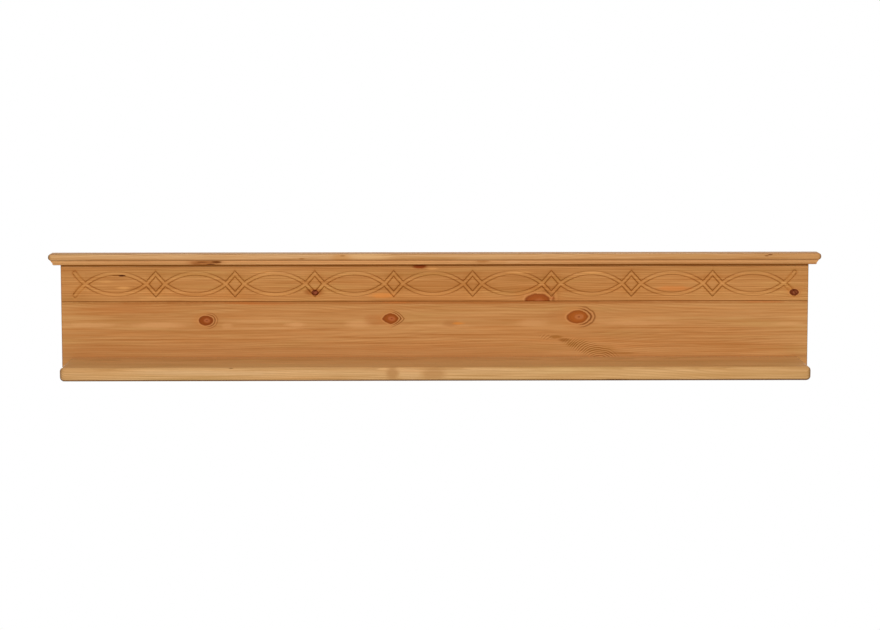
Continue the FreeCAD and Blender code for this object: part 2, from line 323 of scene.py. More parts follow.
@dataclass(frozen=True)
class Pine:
    """Lacquered knotty pine, cut from a log whose heart runs along the board.

    The year rings are circles about that heart, bent by slow noise and pushed aside by the knots, so that
    the faces show long arches and fine lines and the ends show arcs. Over them lie streaks and short dark
    dashes along the grain, and a slow drift of the hue between red and olive. Stains reach no deeper than
    stain_depth behind the front face, which lies at face_y.
    """

    name: str
    pale: Colour
    deep: Colour
    late: Colour
    heart_y: float
    heart_z: float
    ring_pitch: float = 2.6 * MM
    bend: float = 0.02
    taper: float = 0.012
    late_strength: float = 0.5
    dash_strength: float = 0.3
    hue_strength: float = 0.3
    seed: float = 1.0
    sheen: Sheen = Sheen.SATIN_LACQUER
    # The gains: wear and a painted highlight on the arrises; paler ribbons with a painted highlight below
    # each carved line; darker end grain; painted shade on faces that look down, painted light where that gain
    # is above 1; a stain and painted shade along the carved lines.
    edge_wear_and_highlight_gain: Triple = (1.12, 1.15, 1.2)
    ribbon_and_highlight_gain: Triple = (1.11, 1.14, 1.16)
    end_gain: Triple = (0.66, 0.62, 0.56)
    carved_stain_and_shade_gain: Triple = (0.81, 0.69, 0.48)
    painted_underside_gain: Triple = (0.62, 0.55, 0.42)
    painted_underside_slope: float = 0.75
    face_y: float = -18.0 * MM
    stain_depth: float = 14.0 * MM
    knots: tuple[Knot, ...] = ()
    stains: tuple[Stain, ...] = ()
    ripples: tuple[Ripple, ...] = ()

    def shares(self, bench: Bench, mark: "Knot | Stain") -> Wire:
        """The way from a mark's centre along X and Z, in parts of its half sizes."""
        across = bench.span("SUBTRACT", bench.place, (mark.x, 0.0, mark.z))
        return bench.span("MULTIPLY", across, (1 / mark.reach, 0.0, 1 / mark.rise))

    def oval(self, bench: Bench, mark: "Knot | Stain") -> Wire:
        """The distance from a mark's centre, in parts of its half sizes, so that it is 1 on its rim."""
        return bench.span("LENGTH", self.shares(bench, mark), output="Value")

    def push(self, bench: Bench, level: Wire) -> "Wire | float":
        """How far the knots push the grain aside.

        Near a knot it is the knot's half height, with the sign of the side, and it dies off as a bell of
        the oval distance.

        Args:
            bench: the material.
            level: the height Z.

        Returns:
            The push of all the knots.
        """
        total = 0.0
        for knot in self.knots:
            side = level - knot.z
            aside = side / (abs(side) + 0.6 * knot.rise)
            total = aside * (self.oval(bench, knot) * 0.4).fade() * knot.rise + total
        return total

    def rings(self, bench: Bench, push: "Wire | float") -> Wire:
        """The year rings: a slow rise to the dark late wood, then a quick return.

        The ring number is the distance from the log's heart over the pitch, and steps of its fraction give
        the dark share. Where the face meets the rings flat, straight over the heart, they fade.

        Args:
            bench: the material.
            push: how far the knots push the grain.

        Returns:
            The dark share, from 0 to 1.
        """
        bend = bench.noise(bench.place, (1.8, 5.0, 5.0), 2.0, self.seed) - 0.5
        ripple = bench.noise(bench.place, (16.0, 70.0, 70.0), 2.0, self.seed + 2) - 0.5
        x, y, z = (bench.node("ShaderNodeSeparateXYZ", {0: bench.place}, axis) for axis in "XYZ")
        up = z - push - self.heart_z
        out = y - self.heart_y
        radius = bench.math("SQRT", up * up + out * out)
        number = (radius + x * self.taper + bend * self.bend + ripple * 0.0016) / self.ring_pitch
        part = bench.math("FRACT", number)
        steep = (abs(up) / radius).step(0.1, 0.5, 0.25, 1.0)
        return part.step(0.3, 0.85) * part.step(0.9, 1.0, 1.0, 0.0) * steep

    def grain(self, bench: Bench, rings: Wire, fibre: Wire) -> Wire:
        """The wood's colour without its knots: streaks of two tones at three widths, and the late wood.

        Args:
            bench: the material.
            rings: the dark share of the year rings.
            fibre: the fine grain.

        Returns:
            The colour.
        """
        broad = bench.noise(bench.place, (1.6, 14.0, 24.0), 2.0, self.seed + 5)
        streak = bench.noise(bench.place, (4.0, 110.0, 150.0), 2.0, self.seed + 9)
        dash = bench.noise(bench.place, (8.0, 260.0, 340.0), 2.0, self.seed + 11)
        hue = bench.noise(bench.place, (4.0, 30.0, 50.0), 2.0, self.seed + 15)
        tone = broad.step(0.3, 0.7) * 0.3 + streak.step(0.32, 0.68) * 0.4 + dash.step(0.32, 0.68) * 0.3
        colour = bench.tint(tone, self.deep, self.pale)
        redder = bench.span("MULTIPLY", colour, (1.08, 0.93, 0.78))
        greener = bench.span("MULTIPLY", colour, (0.94, 1.02, 0.96))
        colour = bench.tint(hue.step(0.5, 0.72) * self.hue_strength, colour, redder)
        colour = bench.tint(hue.step(0.5, 0.28) * (self.hue_strength * 2), colour, greener)
        colour = bench.tint(rings * streak.step(0.25, 0.75, 0.4, 1.0) * self.late_strength, colour, self.late)
        dashes = dash.step(0.42, 0.32) * streak.step(0.3, 0.6) * self.dash_strength
        colour = bench.tint(dashes, colour, self.late)
        return bench.tint(fibre.step(0.45, 0.75) * 0.18, colour, self.late)

    def knotted(self, bench: Bench, colour: Wire, knot: Knot, ragged: Wire) -> Wire:
        """Lays one knot into the wood: a warm halo, dark and pale arcs, and a rimmed heart.

        Args:
            bench: the material.
            colour: the wood so far.
            knot: the knot.
            ragged: noise about zero that roughens the outline.

        Returns:
            The wood with the knot.
        """
        shares = self.shares(bench, knot)
        across, up = (bench.node("ShaderNodeSeparateXYZ", {0: shares}, axis) for axis in "XZ")
        oval = bench.span("LENGTH", shares, output="Value") + ragged + abs(across * up) * knot.point
        side = across.step(-0.2, 0.8) * knot.wrap
        heart_shares = bench.span("SUBTRACT", shares, (0.12, 0.0, 0.0))
        inner = bench.span("LENGTH", heart_shares, output="Value") + ragged
        colour = bench.tint(oval.step(2.3, 1.1) * 0.28, colour, linear(190, 116, 52))
        glow = ((oval - 1.12) * 12.0).fade() * 0.4 + ((oval - 1.45) * 11.0).fade() * side * 0.4
        colour = bench.tint(glow, colour, linear(212, 146, 88))
        arcs = ((oval - 1.27) * 10.0).fade() + ((oval - 1.63) * 11.0).fade() * knot.wrap * 0.75
        colour = bench.tint(arcs * side * 0.95, colour, linear(118, 60, 8))
        body = bench.tint(inner.step(0.6, 0.25) * 0.85, knot.body, knot.heart)
        body = bench.tint(((oval - 0.93) * 7.0).fade() * 0.4, body, linear(104, 42, 4))
        body = bench.tint(bench.math("SINE", oval * 21.0).step(0.2, 1.0) * 0.16, body, linear(120, 50, 6))
        body = bench.tint(inner.step(0.17, 0.05) * 0.6, body, linear(122, 52, 14))
        return bench.tint(oval.step(1.1, 0.9), colour, body)

    def rippled(self, bench: Bench, colour: Wire, ripple: Ripple) -> Wire:
        """Lays a patch of curly grain into the wood.

        Args:
            bench: the material.
            colour: the wood so far.
            ripple: the patch.

        Returns:
            The wood with the patch.
        """
        centre = (ripple.x, 0.0, ripple.z)
        turn = {"Vector": bench.place, "Center": centre, "Angle": ripple.lean}
        turned = bench.node("ShaderNodeVectorRotate", turn, rotation_type="Y_AXIS")
        within = bench.span("SUBTRACT", turned, centre)
        shares = bench.span("MULTIPLY", within, (1 / ripple.reach, 0.0, 1 / ripple.rise))
        oval = bench.span("LENGTH", shares, output="Value")
        away = bench.span("SUBTRACT", bench.place, (ripple.focus_x, 0.0, ripple.focus_z))
        flat = bench.span("MULTIPLY", away, (1.0, 0.0, 1.0))
        wobble = bench.noise(bench.place, (30.0, 30.0, 30.0), 2.0, self.seed + 21) * 0.008
        distance = bench.span("LENGTH", flat, output="Value") + wobble
        wave = bench.math("SINE", distance * (math.tau / ripple.pitch))
        cover = oval.step(1.15, 0.55) * ripple.strength
        darker = bench.span("MULTIPLY", colour, (0.62, 0.5, 0.34))
        colour = bench.tint(cover * wave.step(0.0, 0.8), colour, darker)
        return bench.tint(cover * wave.step(-0.2, -1.0) * 0.45, colour, self.pale)

    def weathered_and_painted_light(self, bench: Bench, colour: Wire, fibre: Wire) -> tuple[Wire, Wire]:
        """Darkens the end grain, paints shade on the undersides, and darkens the carved lines with a stain
        and painted shade; lays the arrises paler with wear and a painted highlight, and the ribbons paler,
        with a painted highlight below each carved line.

        Each is the wood's own colour times a factor, so that knots and streaks run on through it. A face
        takes the whole of the painted underside factor once it looks down by the underside slope.

        Args:
            bench: the material.
            colour: the wood's colour.
            fibre: the fine grain.

        Returns:
            The colour and the roughness.
        """
        normal = bench.node("ShaderNodeNewGeometry", output="Normal")
        end = abs(bench.node("ShaderNodeSeparateXYZ", {0: normal}, "X")).step(0.35, 0.85)
        down = bench.node("ShaderNodeSeparateXYZ", {0: normal}, "Z")
        # Painted shade on faces that look down; where the gain is above 1 it paints light there instead.
        under = down.step(-0.08 * self.painted_underside_slope, -self.painted_underside_slope)
        worn, carved, raised = (bench.node("ShaderNodeAttribute", output="Fac", attribute_name=name)
                                for name in MARKS)
        layers = ((worn, self.edge_wear_and_highlight_gain), (raised, self.ribbon_and_highlight_gain), (end, self.end_gain),
                  (under, self.painted_underside_gain), (carved, self.carved_stain_and_shade_gain))
        for share, gain in layers:
            colour = bench.tint(share, colour, bench.span("MULTIPLY", colour, gain))
        rough = fibre * 0.16 + end * 0.2 - worn * 0.08 + (self.sheen.rough - 0.08)
        return colour, rough

    def material(self) -> bpy.types.Material:
        """Lays out the finish.

        Returns:
            The material.
        """
        bench = Bench(self.name)
        y, z = (bench.node("ShaderNodeSeparateXYZ", {0: bench.place}, axis) for axis in "YZ")
        shallow = (y - self.face_y).step(self.stain_depth, 0.6 * self.stain_depth)
        ragged = (bench.noise(bench.place, (90.0, 90.0, 90.0), 2.0, self.seed) - 0.5) * 0.3
        rings = self.rings(bench, self.push(bench, z))
        fibre = bench.noise(bench.place, (22.0, 900.0, 1100.0), 2.0, self.seed + 13)
        colour = self.grain(bench, rings, fibre)
        for stain in self.stains:
            share = self.oval(bench, stain) + ragged * 1.6
            cover = share.step(1 + 0.3 * stain.soft, 1 - 0.6 * stain.soft) * stain.strength
            colour = bench.tint(cover * shallow, colour, stain.colour)
        for ripple in self.ripples:
            colour = self.rippled(bench, colour, ripple)
        for knot in self.knots:
            colour = self.knotted(bench, colour, knot, ragged)
        colour, rough = self.weathered_and_painted_light(bench, colour, fibre)
        bench.surface(colour, rough, rings * 0.35 + fibre * 0.4, self.sheen, 0.25 * MM)
        return bench.material


@dataclass(frozen=True)
class BareWood:
    """Unlacquered wood of the hidden joints: fine flecks along the grain, in layers where it is plywood."""

    name: str
    pale: Colour
    deep: Colour
    grain: Triple
    layer_pitch: float = 0.0
    sheen: Sheen = Sheen.BARE_WOOD

    def material(self) -> bpy.types.Material:
        """Lays out the finish.

        Returns:
            The material.
        """
        bench = Bench(self.name)
        fleck = bench.noise(bench.place, self.grain, 3.0, 4.0)
        share = fleck.step(0.35, 0.7)
        if self.layer_pitch:
            y = bench.node("ShaderNodeSeparateXYZ", {0: bench.place}, "Y")
            share = share * 0.4 + bench.math("PINGPONG", y / self.layer_pitch, 1.0).step(0.35, 0.65) * 0.6
        colour = bench.tint(share, self.deep, self.pale)
        bench.surface(colour, fleck * 0.1 + self.sheen.rough, fleck, self.sheen, 0.2 * MM)
        return bench.material


@dataclass(frozen=True)
class Zinc:
    """Bright zinc plate: drawn lines along the piece, a faint bloom and duller spots."""

    name: str
    pale: Colour = linear(176, 178, 177)
    dull: Colour = linear(134, 137, 140)
    sheen: Sheen = Sheen.ZINC_PLATE

    def material(self) -> bpy.types.Material:
        """Lays out the finish.

        Returns:
            The material.
        """
        bench = Bench(self.name)
        bloom = bench.noise(bench.place, (160.0, 160.0, 160.0), 4.0, 3.0)
        drawn = bench.noise(bench.place, (2600.0, 2600.0, 120.0), 2.0, 8.0)
        colour = bench.tint(bloom.step(0.3, 0.7) * 0.7 + drawn * 0.3, self.dull, self.pale)
        rough = bloom * 0.2 + drawn * 0.08 + (self.sheen.rough - 0.1)
        bench.surface(colour, rough, drawn, self.sheen, 0.03 * MM, metal=1.0)
        return bench.material


def crisp(mesh: bpy.types.Mesh, crease: float) -> None:
    """Shades a mesh smooth, but for its edges that turn by more than crease, in degrees."""
    mesh.polygons.foreach_set("use_smooth", np.ones(len(mesh.polygons), bool))
    mesh.set_sharp_from_angle(angle=math.radians(crease))


@dataclass
class Skin:
    """A mesh in the making: grids of points and flat lids, with one number per point for each attribute."""

    points: list[np.ndarray] = field(default_factory=list)
    faces: list[list[int]] = field(default_factory=list)
    marks: dict[str, list[np.ndarray]] = field(default_factory=dict)
    count: int = 0

    def grid(self, points: np.ndarray, closed: bool = False, **marks: np.ndarray) -> np.ndarray:
        """Adds a surface whose points stand in rows and columns, each four joined by a face.

        Args:
            points: the places, of shape (rows, columns, 3).
            closed: whether the last column joins the first.
            **marks: attributes, of shape (rows, columns).

        Returns:
            The points' numbers, of shape (rows, columns).
        """
        rows, columns = points.shape[:2]
        numbers = np.arange(rows * columns).reshape(rows, columns) + self.count
        self.count += rows * columns
        self.points.append(points.reshape(-1, 3))
        for name in MARKS:
            values = marks.get(name, np.zeros((rows, columns)))
            self.marks.setdefault(name, []).append(np.broadcast_to(values, (rows, columns)).reshape(-1))
        loop = np.concatenate([numbers, numbers[:, :1]], axis=1) if closed else numbers
        quads = np.stack([loop[:-1, :-1], loop[1:, :-1], loop[1:, 1:], loop[:-1, 1:]], axis=-1)
        self.faces += quads.reshape(-1, 4).tolist()
        return numbers

    def lid(self, *rings: np.ndarray) -> None:
        """Closes a flat ring of points with one face.

        Args:
            *rings: the points' numbers, in order round the ring.
        """
        self.faces.append(np.concatenate(rings).tolist())

    def build(self, name: str, material: "bpy.types.Material | None" = None,
              crease: float = CREASE) -> bpy.types.Object:
        """Makes the object, with its faces turned outwards and its sharp arrises kept.

        Args:
            name: the object's name.
            material: its finish, or none for a cutter.
            crease: the angle, in degrees, above which an edge is sharp.

        Returns:
            The new object.
        """
        mesh = bpy.data.meshes.new(name)
        mesh.from_pydata(np.concatenate(self.points).tolist(), [], self.faces)
        for key, values in self.marks.items():
            layer = mesh.attributes.new(key, "FLOAT", "POINT")
            layer.data.foreach_set("value", np.concatenate(values).astype(np.float32))
        work = bmesh.new()
        work.from_mesh(mesh)
        bmesh.ops.remove_doubles(work, verts=work.verts, dist=0.002 * MM)
        bmesh.ops.recalc_face_normals(work, faces=work.faces)
        work.to_mesh(mesh)
        work.free()
        crisp(mesh, crease)
        mesh.materials.append(material)
        made = bpy.data.objects.new(name, mesh)
        bpy.context.scene.collection.objects.link(made)
        log.info("%s: %d points, %d faces", name, len(mesh.vertices), len(mesh.polygons))
        return made


def loft(sections: np.ndarray, **marks: np.ndarray) -> Skin:
    """A closed solid through sections that each go round once.

    Args:
        sections: the places, of shape (sections, points round, 3).
        **marks: attributes, of shape (sections, points round).

    Returns:
        The solid's skin, with both ends closed.
    """
    skin = Skin()
    numbers = skin.grid(sections, closed=True, **marks)
    skin.lid(numbers[0])
    skin.lid(numbers[-1])
    return skin


def pierce(piece: bpy.types.Object, cutters: list[bpy.types.Object], crease: float = CREASE) -> None:
    """Cuts solids out of a piece for good, and removes them.

    Args:
        piece: the piece that is cut.
        cutters: the solids.
        crease: the angle, in degrees, above which an edge is sharp.
    """
    for cutter in cutters:
        cut = piece.modifiers.new("cut", "BOOLEAN")
        cut.operation = "DIFFERENCE"
        cut.solver = "EXACT"
        cut.object = cutter
    graph = bpy.context.evaluated_depsgraph_get()
    mesh = bpy.data.meshes.new_from_object(piece.evaluated_get(graph))
    piece.modifiers.clear()
    piece.data = mesh
    crisp(mesh, crease)
    for cutter in cutters:
        bpy.data.objects.remove(cutter)


def cutting_bar(low: np.ndarray, high: np.ndarray, radius: float, axis: int, deep: float,
                out: float = 1.0 * MM, points: int = 64) -> bpy.types.Object:
    """A bar with round ends, for cutting: half circles about two points, joined, and carried along an axis.

    Args:
        low: the lower point.
        high: the upper point, or the same one for a round bar.
        radius: the radius of its ends.
        axis: the axis it is carried along, 1 for Y or 2 for Z.
        deep: how far it reaches the negative way.
        out: how far it reaches the positive way.
        points: how many points go round it.

    Returns:
        The bar.
    """
    turn = np.linspace(0, math.tau, points, endpoint=False)
    ring = np.zeros((points, 3))
    ring[:, 0] = radius * np.cos(turn)
    ring[:, 3 - axis] = radius * np.sin(turn)
    ring += np.where(np.sin(turn)[:, None] >= 0, high, low)
    sections = np.stack([ring, ring])
    sections[0, :, axis] -= deep
    sections[1, :, axis] += out
    return loft(sections).build("cutter")


def dress(node: str, material: bpy.types.Material) -> None:
    """Gives a piece of the fixed frame its finish.

    Args:
        node: the piece's name.
        material: the finish.
    """
    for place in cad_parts[node].material_slots:
        place.material = material


def settle(piece: bpy.types.Object, node: str) -> None:
    """Lets a new piece stand for a piece of the frame.

    Args:
        piece: the new piece.
        node: the piece that it stands for.
    """
    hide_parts(node)
    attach(piece, ROOT)


def waver(along: np.ndarray, seed: float) -> np.ndarray:
    """How a hand-sanded arris varies: three slow sines of the way along it, about zero and within 1."""
    waves = ((9.0, 1.0), (23.0, 2.3), (57.0, 4.1))
    return sum(np.sin(along * rate + seed * turn) for rate, turn in waves) / len(waves)


@dataclass
class EdgedBoard:
    """A flat board, square at the back, with rounded front corners and rounded arrises.

    Its skin is a profile carried round the plan outline: the outline moved inwards by the profile's inset,
    at the profile's height. The arrises take wear and a painted highlight, most on the nose. At the ends
    the arrises are sanded rounder by a factor each and take less of that, and all along they vary by the
    share that uneven says.
    """

    node: str
    finish: Pine
    corner: float
    top_radius: float
    bottom_radius: float
    end_top: float = 1.0
    end_bottom: float = 1.0
    uneven: float = 0.05
    end_wear_and_highlight: float = 0.4
    guard: float = 2.0 * MM
    side_points: int = 12
    front_points: int = 260
    arc_points: int = 9

    def outline(self, low: np.ndarray, high: np.ndarray) -> tuple[np.ndarray, np.ndarray]:
        """The plan outline from the back left corner round the front, with its outward directions.

        Args:
            low: the board's lowest corner.
            high: its highest corner.

        Returns:
            The places and the directions, each of shape (points, 2).
        """
        side = np.linspace(high[1], low[1] + self.corner, self.side_points)
        front = np.linspace(low[0] + self.corner, high[0] - self.corner, self.front_points)
        turn = np.linspace(0, math.pi / 2, self.arc_points + 2)[1:-1]
        ones = np.ones_like
        left = np.stack([ones(side) * low[0], side, -ones(side), 0 * side], 1)
        arc = np.stack([low[0] + self.corner * (1 - np.cos(turn)), low[1] + self.corner * (1 - np.sin(turn)),
                        -np.cos(turn), -np.sin(turn)], 1)
        middle = np.stack([front, ones(front) * low[1], 0 * front, -ones(front)], 1)
        mirror = np.array([-1.0, 1.0, -1.0, 1.0])
        shift = np.array([low[0] + high[0], 0.0, 0.0, 0.0])
        rows = np.concatenate([left, arc, middle, arc[::-1] * mirror + shift, left[::-1] * mirror + shift])
        return rows[:, :2], rows[:, 2:]

    def profile(self, height: float) -> tuple[np.ndarray, np.ndarray, np.ndarray]:
        """The edge's profile from the top flat round the nose to the bottom flat.

        A quarter circle moves in by r (1 - sin a) as it rises by r (1 - cos a).

        Args:
            height: the board's thickness.

        Returns:
            The insets, the drops below the top, and how much wear and painted highlight each point takes.
        """
        turn = np.linspace(0, math.pi / 2, self.arc_points)
        top, bottom = self.top_radius, self.bottom_radius
        falling, rising = 1 - np.sin(turn), 1 - np.cos(turn)
        inset = np.concatenate([[top + self.guard], top * falling, bottom * rising, [bottom + self.guard]])
        drop = np.concatenate([[0.0], top * rising, height - bottom * falling, [height]])
        rise = np.linspace(0, 1, self.arc_points)
        worn = np.concatenate([[0.0], np.sqrt(rise), rise[::-1] ** 2, [0.0]])
        return inset, drop, worn

    def build(self, name: str) -> bpy.types.Object:
        """Makes the board in the place of its node.

        Args:
            name: the new piece's name.

        Returns:
            The piece.
        """
        low, high = (np.array(corner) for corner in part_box(self.node))
        path, outward = self.outline(low, high)
        height = high[2] - low[2]
        inset, drop, worn = self.profile(height)
        upper = drop < height / 2
        end = outward[:, :1] ** 2
        rounder = 1 + end * (np.where(upper, self.end_top, self.end_bottom) - 1)
        hand = 1 + self.uneven * waver(path[:, 0] + path[:, 1], self.finish.seed)[:, None]
        moved = inset[None, :] * hand * rounder
        points = np.empty((*moved.shape, 3))
        points[..., :2] = path[:, None, :] - outward[:, None, :] * moved[..., None]
        points[..., 2] = np.where(upper, high[2] - drop * rounder, low[2] + (height - drop) * rounder)
        skin = Skin()
        numbers = skin.grid(points, worn=worn * (1 - (1 - self.end_wear_and_highlight) * end))
        skin.lid(numbers[:, 0])
        skin.lid(numbers[::-1, -1])
        skin.lid(numbers[0], numbers[-1, ::-1])
        piece = skin.build(name, self.finish.material())
        settle(piece, self.node)
        return piece


@dataclass
class Moulding:
    """One strip under the cap board: a section of (out from the panel, up), mitred where two strips meet."""

    node: str
    finish: Pine
    slope: float = 2.6 * MM
    arris: float = 2.4 * MM

    def section(self, reach: float, height: float) -> tuple[np.ndarray, np.ndarray]:
        """The section, going round from the panel's foot: a flat foot, a rounded arris and a sloping face.

        Args:
            reach: how far the strip stands out.
            height: its height.

        Returns:
            How far out and how far up each point is.
        """
        lean = math.atan2(height, self.slope)
        turn = np.linspace(0, math.pi - lean, 8)
        foot = reach - self.slope
        setback = self.arris * math.tan((math.pi - lean) / 2)
        centre = foot - setback
        out = centre + self.arris * np.sin(turn)
        up = self.arris * (1 - np.cos(turn))
        share = np.linspace(0, 1, 5)[1:]
        face_out = out[-1] + (reach - out[-1]) * share
        face_up = up[-1] + (height - up[-1]) * share
        return (np.concatenate([[0.0, centre * 0.5], out, face_out, [0.0]]),
                np.concatenate([[0.0, 0.0], up, face_up, [height]]))

    def build(self, name: str, panel_end: float, panel_front: float) -> bpy.types.Object:
        """Makes the strip: its section carried from one end to the other, each end moved by the mitre.

        Args:
            name: the new piece's name.
            panel_end: the panel's half width.
            panel_front: the Y of the panel's face.

        Returns:
            The piece.
        """
        low, high = (np.array(corner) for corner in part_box(self.node))
        reach = high[0] - panel_end if low[0] >= 0 else -panel_end - low[0]
        out, up = self.section(reach, high[2] - low[2])
        if low[0] < 0 < high[0]:
            share = np.linspace(-1, 1, 121)[:, None]
            x = share * (panel_end + out)
            y = np.broadcast_to(panel_front - out, x.shape)
        else:
            share = np.linspace(0, 1, 9)[:, None]
            y = (1 - share) * (panel_front - out)
            x = np.broadcast_to(math.copysign(1, low[0] + high[0]) * (panel_end + out), y.shape)
        z = np.broadcast_to(low[2] + up, x.shape)
        # A painted highlight over the sloping face, strongest at its top, where the cap above shades it.
        worn = np.broadcast_to(np.clip(out / reach * 4 - 3, 0, 1), x.shape)
        piece = loft(np.stack([x, y, z], -1), worn=worn).build(name, self.finish.material())
        settle(piece, self.node)
        return piece


@dataclass(frozen=True)
class Ribbons:
    """The frieze's ornament: two ribbons that cross, with long lenses between small diamonds.

    Places are taken as (along from the middle of the shelf, up from the ornament's middle line). The
    diamonds stand a little off their even spacing, as the board slipped along under the cutter, and slips
    says by how much from left to right.
    """

    lens_count: int = 9
    end_margin: float = 48.0 * MM
    lens_rise: float = 20.8 * MM
    reach: float = 18.0 * MM
    rise: float = 20.2 * MM
    width: float = 7.4 * MM
    tail_run: float = 20.6 * MM
    tail_rise: float = 22.0 * MM
    tail_bow: float = 1.4 * MM
    slips: tuple[float, ...] = (-0.6 * MM, -1.6 * MM, -1.4 * MM, -3.0 * MM,
                                -4.4 * MM, -6.2 * MM, -5.2 * MM, -1.9 * MM)

    def even(self, x: np.ndarray, first: float) -> np.ndarray:
        """Where each place along would lie in an evenly spaced ornament.

        The slip runs straight from diamond to diamond, and to none at the two end crossings.

        Args:
            x: the places along the shelf.
            first: how far from the shelf's middle the last crossing is.

        Returns:
            The places in the even ornament.
        """
        period = 2 * (self.reach + first) / self.lens_count
        diamonds = (np.arange(self.lens_count - 1) - (self.lens_count - 2) / 2) * period
        spots = np.concatenate([[-first], diamonds, [first]])
        slips = np.concatenate([[0.0], self.slips, [0.0]])
        return x - np.interp(x, spots + slips, slips)

    def depth_share(self, x: np.ndarray, first: float) -> np.ndarray:
        """How deep the cutter goes: fully at diamonds, crossings and tails, least at a lens's middle."""
        near, half, _ = self.local(x, first)
        return 0.38 + 0.62 * np.clip(np.abs(near) / half, 0, 1) ** 2

    def local(self, x: np.ndarray, first: float) -> tuple[np.ndarray, float, float]:
        """The way along from the middle of the nearest lens, with the lens's half length and the period."""
        period = 2 * (self.reach + first) / self.lens_count
        along = np.abs(x)
        index = np.minimum(np.round(along / period), (self.lens_count - 1) / 2)
        return along - index * period, period / 2 - self.reach, period

    @staticmethod
    def arc_distance(x: np.ndarray, z: np.ndarray, ends: np.ndarray, bow: float) -> np.ndarray:
        """The distance to a bowed arc.

        Between the arc's ends it is the gap between the distance to the centre and the radius, which is
        (half chord squared + bow squared) over twice the bow. Past them it is the distance to the end.

        Args:
            x: the places along.
            z: the places up.
            ends: the arc's two ends, of shape (2, 2).
            bow: how far the arc stands off its chord, to the left of its direction.

        Returns:
            The distances.
        """
        half = np.hypot(*(ends[1] - ends[0])) / 2
        along = (ends[1] - ends[0]) / (2 * half)
        left = np.array([-along[1], along[0]]) * np.sign(bow)
        deep = abs(bow)
        radius = (half ** 2 + deep ** 2) / (2 * deep)
        centre = ends.mean(0) + left * (deep - radius)
        side = (x - centre[0]) * along[0] + (z - centre[1]) * along[1]
        up = (x - centre[0]) * left[0] + (z - centre[1]) * left[1]
        within = np.abs(side) * (radius - deep) <= half * up
        past = np.minimum(*(np.hypot(x - e[0], z - e[1]) for e in ends))
        return np.where(within, np.abs(np.hypot(side, up) - radius), past)

    def distance(self, x: np.ndarray, z: np.ndarray, first: float) -> np.ndarray:
        """The distance to the ribbons' outline, negative on a ribbon.

        It is the least distance to the lens arcs, the diamonds and the tails, less half the ribbon's width.
        A diamond's distance is |along / reach + up / rise - 1| times reach x rise over its side.

        Args:
            x: the places along the shelf.
            z: the places up from the ornament's middle line.
            first: how far from the shelf's middle the last crossing is.

        Returns:
            The distances.
        """
        near, half, period = self.local(x, first)
        up = np.abs(z)
        lens = self.arc_distance(np.abs(near), up, np.array([[-half, 0.0], [half, 0.0]]), self.lens_rise)
        side = self.reach * self.rise / math.hypot(self.reach, self.rise)
        across = np.abs(period / 2 - np.abs(near))
        diamond = np.abs((across / self.reach + up / self.rise - 1) * side)
        diamond = np.where(np.abs(x) < first, diamond, 1.0)
        ends = np.array([[first, 0.0], [first + self.tail_run, self.tail_rise]])
        tail = self.arc_distance(np.abs(x), up, ends, -self.tail_bow)
        return np.minimum(np.minimum(lens, diamond), tail) - self.width / 2

    def edges(self, x: np.ndarray, first: float) -> tuple[np.ndarray, np.ndarray]:
        """The ribbons' inner and outer edge above the middle line at each place along.

        Args:
            x: the places along.
            first: how far from the shelf's middle the last crossing is.

        Returns:
            The inner edge, zero where the ribbons cross, and the outer edge.
        """
        near, half, period = self.local(x, first)
        near, w = np.abs(near), self.width / 2
        radius = (half ** 2 + self.lens_rise ** 2) / (2 * self.lens_rise)
        sunk = self.lens_rise - radius
        outer = sunk + np.sqrt(np.maximum((radius + w) ** 2 - near ** 2, 0))
        inner = sunk + np.sqrt(np.maximum((radius - w) ** 2 - near ** 2, 0))
        slant = math.hypot(self.reach, self.rise)
        out, up = w * slant / self.rise, w * slant / self.reach
        across = np.abs(period / 2 - near)
        outer = np.maximum(outer, (self.rise + up) * (1 - across / (self.reach + out)))
        inner = np.maximum(inner, (self.rise - up) * (1 - across / (self.reach - out)))
        past = np.abs(x) - first
        steep = self.tail_rise / self.tail_run
        lean = math.hypot(1, steep)
        round_end = np.sqrt(np.maximum(w ** 2 - (past - self.tail_run) ** 2, 0))
        tail_outer = np.where(past < self.tail_run - w * steep / lean, past * steep + w * lean,
                              self.tail_rise + round_end)
        tail_inner = np.where(past < self.tail_run + w * steep / lean, past * steep - w * lean,
                              self.tail_rise - round_end)
        tail_inner = np.minimum(tail_inner, self.tail_rise)
        tails = past > 0
        inner = np.maximum(np.where(tails, tail_inner, inner), 0)
        outer = np.where(tails, np.maximum(tail_outer, outer), outer)
        return inner, outer


